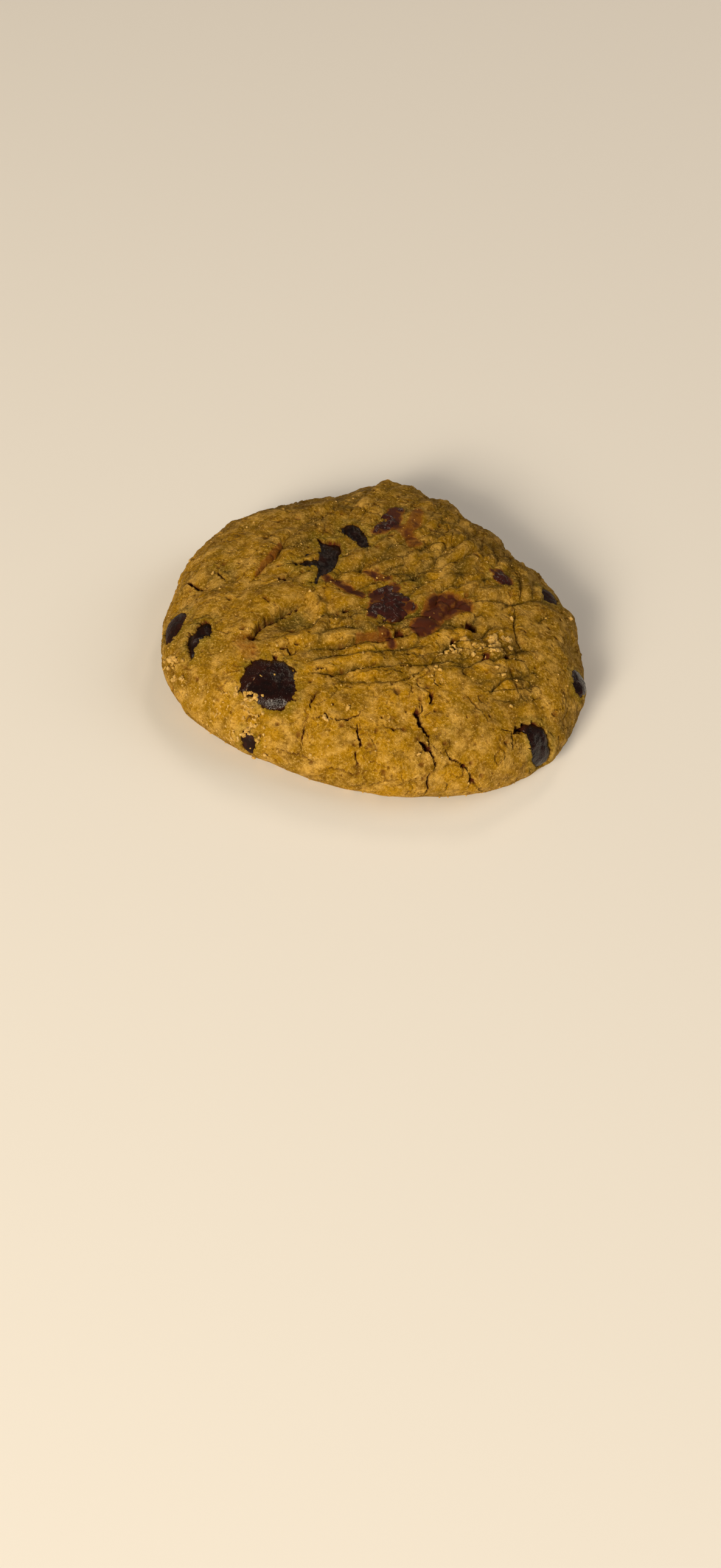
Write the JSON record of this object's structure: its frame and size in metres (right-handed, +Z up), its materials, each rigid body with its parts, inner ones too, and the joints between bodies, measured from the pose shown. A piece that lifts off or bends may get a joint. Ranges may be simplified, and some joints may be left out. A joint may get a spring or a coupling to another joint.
{
  "type": "peanut butter chocolate chip cookie",
  "caption": "Thick soft round cookie with a domed, folded and cracked crown, a rounded side, a flat base and softened chocolate chips set in it.",
  "frame": {"origin": "middle of the flat baked base", "axes": "+Z up through the crown, -Y towards the side that the picture sees, +X to its right"},
  "size_m": [0.0859, 0.0857, 0.0201],
  "materials": {
    "baked_dough": "matt, sandy baked crust",
    "dark_chocolate": "softened dark chocolate, satin to glossy"
  },
  "bodies": {
    "root": {"cookie_dough": "baked_dough", "chip_front_large": "dark_chocolate", "chip_front_small": "dark_chocolate", "chip_front_right": "dark_chocolate", "chip_left_rim": "dark_chocolate", "chip_left_inner": "dark_chocolate", "chip_crown_long": "dark_chocolate", "chip_crown_back": "dark_chocolate", "chip_crown_far": "dark_chocolate", "chip_crown_melted": "dark_chocolate", "chip_right_back": "dark_chocolate", "chip_right_shoulder": "dark_chocolate", "chip_right_rim": "dark_chocolate", "chip_rear_right": "dark_chocolate", "chip_rear_middle": "dark_chocolate", "chip_rear_left": "dark_chocolate", "chip_base_front": "dark_chocolate", "chip_base_left": "dark_chocolate", "chip_base_back": "dark_chocolate"}
  },
  "joints": []
}
